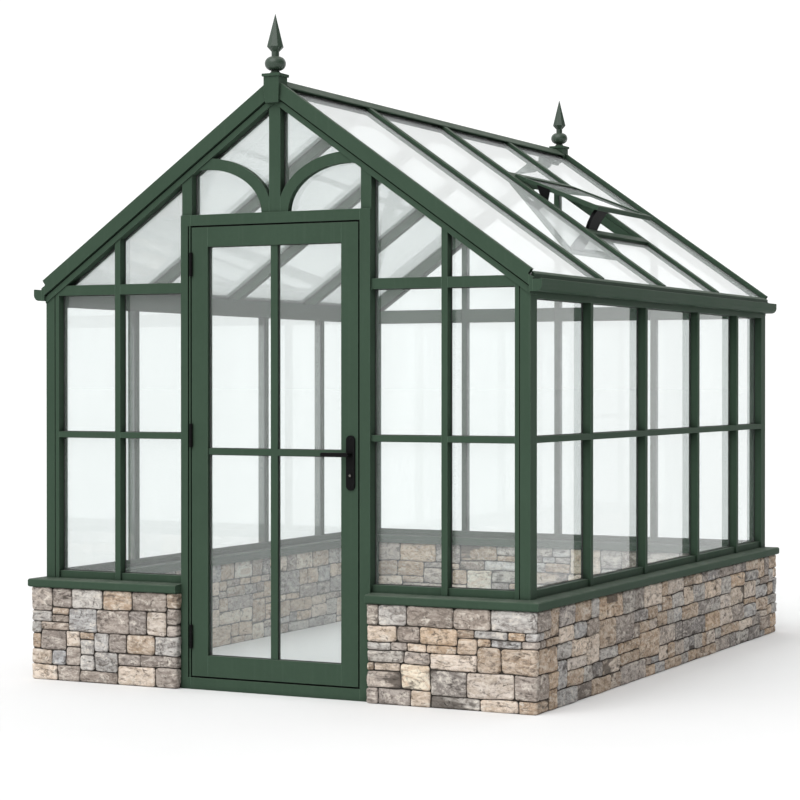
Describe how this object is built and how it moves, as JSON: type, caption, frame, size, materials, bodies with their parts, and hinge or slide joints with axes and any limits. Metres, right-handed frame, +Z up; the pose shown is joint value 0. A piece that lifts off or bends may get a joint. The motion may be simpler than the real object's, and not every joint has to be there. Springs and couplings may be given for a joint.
{
  "type": "glass greenhouse",
  "caption": "Walk-in glass greenhouse with a dark green metal frame on a low stone base, a hinged half-glazed door under the gable, an open roof vent and turned finials.",
  "frame": {"origin": "on the ground, in the middle of the plan", "axes": "+Z up, +Y from the door gable to the back gable along the ridge, +X to the right when facing the door"},
  "size_m": [2.548, 3.4, 2.974],
  "materials": {
    "frame_paint": "satin",
    "black_metal": "satin",
    "stone": "matte",
    "glass": "gloss"
  },
  "bodies": {
    "frame": {"arch_brackets": "frame_paint", "back_glass": "glass", "back_mullions": "frame_paint", "back_sill": "frame_paint", "back_stone_wall": "stone", "back_transoms": "frame_paint", "bottom_rails": "frame_paint", "corner_posts": "frame_paint", "door_head": "frame_paint", "door_post_hinges": "black_metal", "door_posts": "frame_paint", "door_threshold": "frame_paint", "eave_bars": "frame_paint", "finial_boxes": "frame_paint", "finials": "frame_paint", "front_glass": "glass", "front_mid_bars": "frame_paint", "front_mullions": "frame_paint", "front_sills": "frame_paint", "front_stone_wall_left": "stone", "front_stone_wall_right": "stone", "front_transoms": "frame_paint", "gutters": "frame_paint", "king_post": "frame_paint", "left_bargeboards": "frame_paint", "left_gable_rafters": "frame_paint", "left_glass": "glass", "left_mullions": "frame_paint", "left_rafters": "frame_paint", "left_roof_glass": "glass", "left_stone_wall": "stone", "ridge_beam": "frame_paint", "ridge_cap": "frame_paint", "right_bargeboards": "frame_paint", "right_gable_rafters": "frame_paint", "right_glass": "glass", "right_mid_bars": "frame_paint", "right_mullions": "frame_paint", "right_rafters": "frame_paint", "right_roof_glass": "glass", "right_stone_wall": "stone", "side_sills": "frame_paint", "vent_curb": "frame_paint", "vent_glass": "glass", "vent_rails": "frame_paint", "vent_stays": "black_metal", "vent_stiles": "frame_paint", "wall_plates": "frame_paint"},
    "door": {"door_stiles": "frame_paint", "door_rails": "frame_paint", "door_glazing_bars": "frame_paint", "door_glass": "glass", "door_hinges": "black_metal", "door_handle_plates": "black_metal", "door_lock_cylinder": "black_metal"},
    "door_handle": {"door_lever": "black_metal"}
  },
  "joints": [
    {"name": "door_hinge", "type": "hinge", "parent": "frame", "child": "door", "pos_m": [-0.4172, -1.658, 1.057], "axis": [0, 0, -1], "range_deg": [0, 105]},
    {"name": "lever_turn", "type": "hinge", "parent": "door", "child": "door_handle", "pos_m": [0.383, -1.629, 1.056], "axis": [0, -1, 0], "range_deg": [0, 40], "stiffness_Nm_per_rad": 1.5, "springref_deg": -34.38}
  ]
}
